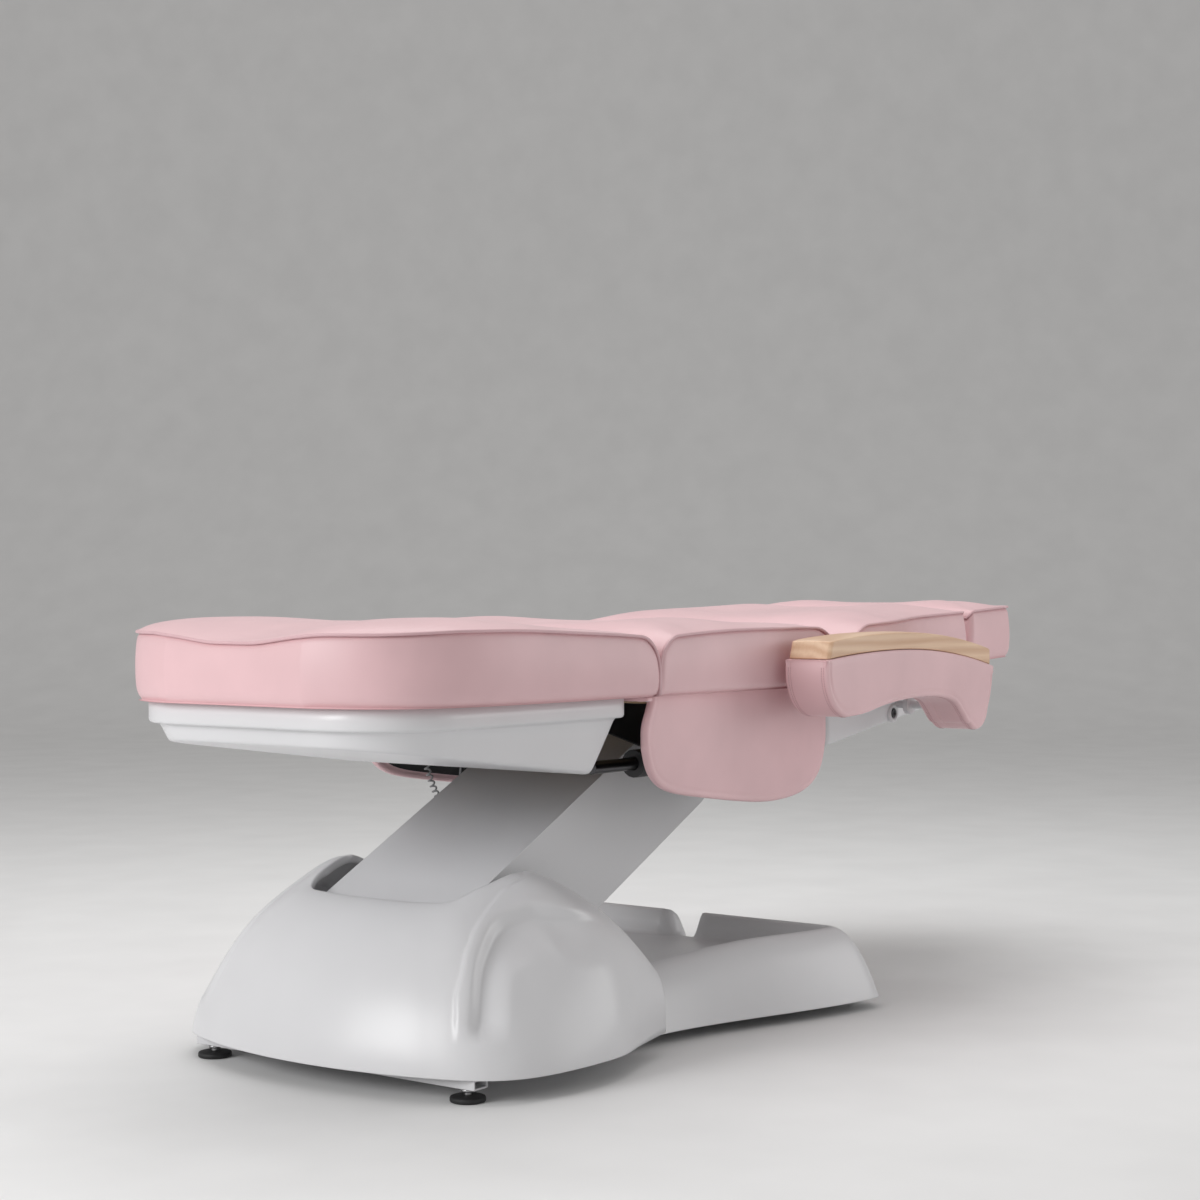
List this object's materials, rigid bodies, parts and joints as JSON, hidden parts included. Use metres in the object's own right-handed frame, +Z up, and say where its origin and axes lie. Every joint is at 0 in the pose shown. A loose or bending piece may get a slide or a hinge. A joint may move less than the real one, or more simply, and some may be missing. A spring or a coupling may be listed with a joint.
{
  "type": "electric treatment bed",
  "caption": "Electric beauty and treatment bed: padded leg, seat, back and head cushions on a motorised parallel lift arm over a moulded base, with level padded armrests.",
  "frame": {"origin": "on the floor under the middle of the bed's length and width", "axes": "+X along the bed from the foot end to the head, +Y to the client's right, +Z up"},
  "size_m": [1.8544, 0.83, 0.6765],
  "materials": {
    "bare_steel": "turned and zinc plated",
    "black_rubber": "black moulded rubber",
    "black_steel": "black powder coat",
    "grey_plastic": "grey moulded plastic",
    "leatherette": "pale pink synthetic leather, satin, fine grain",
    "plywood": "raw plywood",
    "white_plastic": "white moulded plastic, satin",
    "white_steel": "white powder coat, fine texture",
    "wood": "light hardwood, clear satin lacquer"
  },
  "bodies": {
    "base": {"base_cross_front": "white_steel", "base_cross_rear": "white_steel", "base_rail_left": "white_steel", "base_rail_right": "white_steel", "lift_tower_left": "white_steel", "lift_tower_right": "white_steel", "floor_plate": "white_steel", "control_box": "grey_plastic", "levelling_foot_front_left": "black_rubber", "levelling_foot_front_right": "black_rubber", "levelling_foot_rear_left": "black_rubber", "levelling_foot_rear_right": "black_rubber", "base_front_cover": "white_plastic", "base_rear_cover": "white_plastic", "power_inlet": "black_rubber", "lift_actuator": "grey_plastic"},
    "lift_rod": {"lift_rod": "bare_steel"},
    "lift_arm": {"lift_arm": "white_steel", "lift_crank": "black_steel", "carriage_shaft": "bare_steel"},
    "parallel_link": {"parallel_link": "black_steel"},
    "seat": {"carriage_plate_left": "black_steel", "carriage_plate_right": "black_steel", "seat_rail_left": "black_steel", "seat_rail_right": "black_steel", "seat_cross_front": "black_steel", "seat_cross_rear": "black_steel", "seat_board": "plywood", "leg_hinge_shaft": "bare_steel", "hip_hinge_shaft": "bare_steel", "seat_cushion": "leatherette", "side_flap_left": "leatherette", "side_flap_right": "leatherette", "leg_actuator": "grey_plastic", "back_actuator": "grey_plastic", "lead_gland": "grey_plastic", "curly_lead": "grey_plastic"},
    "leg": {"leg_rail_left": "black_steel", "leg_rail_right": "black_steel", "leg_cross": "black_steel", "leg_tray": "white_plastic", "leg_board": "plywood", "leg_cushion": "leatherette"},
    "leg_rod": {"leg_rod": "bare_steel"},
    "back_rod": {"back_rod": "bare_steel"},
    "back": {"back_rail_left": "black_steel", "back_rail_right": "black_steel", "back_cross": "black_steel", "back_tray": "white_plastic", "back_board": "plywood", "back_cushion": "leatherette", "armrest_shaft": "bare_steel"},
    "head": {"head_bracket": "black_steel", "head_hinge_shaft": "bare_steel", "head_board": "plywood", "head_cushion": "leatherette"},
    "armrest_left": {"armrest_body_left": "leatherette", "armrest_cap_left": "wood"},
    "armrest_right": {"armrest_body_right": "leatherette", "armrest_cap_right": "wood"}
  },
  "joints": [
    {"name": "lift", "type": "hinge", "parent": "base", "child": "lift_arm", "pos_m": [-0.58724, 0, 0.147], "axis": [0, -1, 0], "range_deg": [-4, 26]},
    {"name": "carriage_level", "type": "hinge", "parent": "lift_arm", "child": "seat", "pos_m": [-0.02224, 0, 0.4286], "axis": [0, -1, 0], "range_deg": [-26, 4]},
    {"name": "link_swing", "type": "hinge", "parent": "base", "child": "parallel_link", "pos_m": [-0.61938, 0, 0.1853], "axis": [0, -1, 0], "range_deg": [-4, 26]},
    {"name": "lift_drive", "type": "slide", "parent": "base", "child": "lift_rod", "axis": [1, 0, 0], "range_m": [-0.0069, 0.04486]},
    {"name": "leg_fold", "type": "hinge", "parent": "seat", "child": "leg", "pos_m": [-0.35099, 0, 0.51], "axis": [0, 1, 0], "range_deg": [-20, 0]},
    {"name": "leg_drive", "type": "slide", "parent": "seat", "child": "leg_rod", "axis": [1, 0, 0], "range_m": [0, 0.02778]},
    {"name": "back_raise", "type": "hinge", "parent": "seat", "child": "back", "pos_m": [0.19276, 0, 0.575], "axis": [0, -1, 0], "range_deg": [0, 65]},
    {"name": "back_drive", "type": "slide", "parent": "seat", "child": "back_rod", "axis": [1, 0, 0], "range_m": [0, 0.14092]},
    {"name": "head_tilt", "type": "hinge", "parent": "back", "child": "head", "pos_m": [0.75007, 0, 0.53978], "axis": [0, -1, 0], "range_deg": [-30, 10]},
    {"name": "armrest_left_level", "type": "hinge", "parent": "back", "child": "armrest_left", "pos_m": [0.48676, -0.33, 0.4955], "axis": [0, -1, 0], "range_deg": [-65, 0]},
    {"name": "armrest_right_level", "type": "hinge", "parent": "back", "child": "armrest_right", "pos_m": [0.48676, 0.33, 0.4955], "axis": [0, -1, 0], "range_deg": [-65, 0]}
  ],
  "couplings": [
    {"joint": "carriage_level", "follows": "lift", "ratio": -1},
    {"joint": "link_swing", "follows": "lift", "ratio": 1},
    {"joint": "lift_drive", "follows": "lift", "m_per_rad": 0.098862},
    {"joint": "leg_drive", "follows": "leg_fold", "m_per_rad": -0.079594},
    {"joint": "back_drive", "follows": "back_raise", "m_per_rad": 0.12422},
    {"joint": "armrest_left_level", "follows": "back_raise", "ratio": -1},
    {"joint": "armrest_right_level", "follows": "back_raise", "ratio": -1}
  ]
}
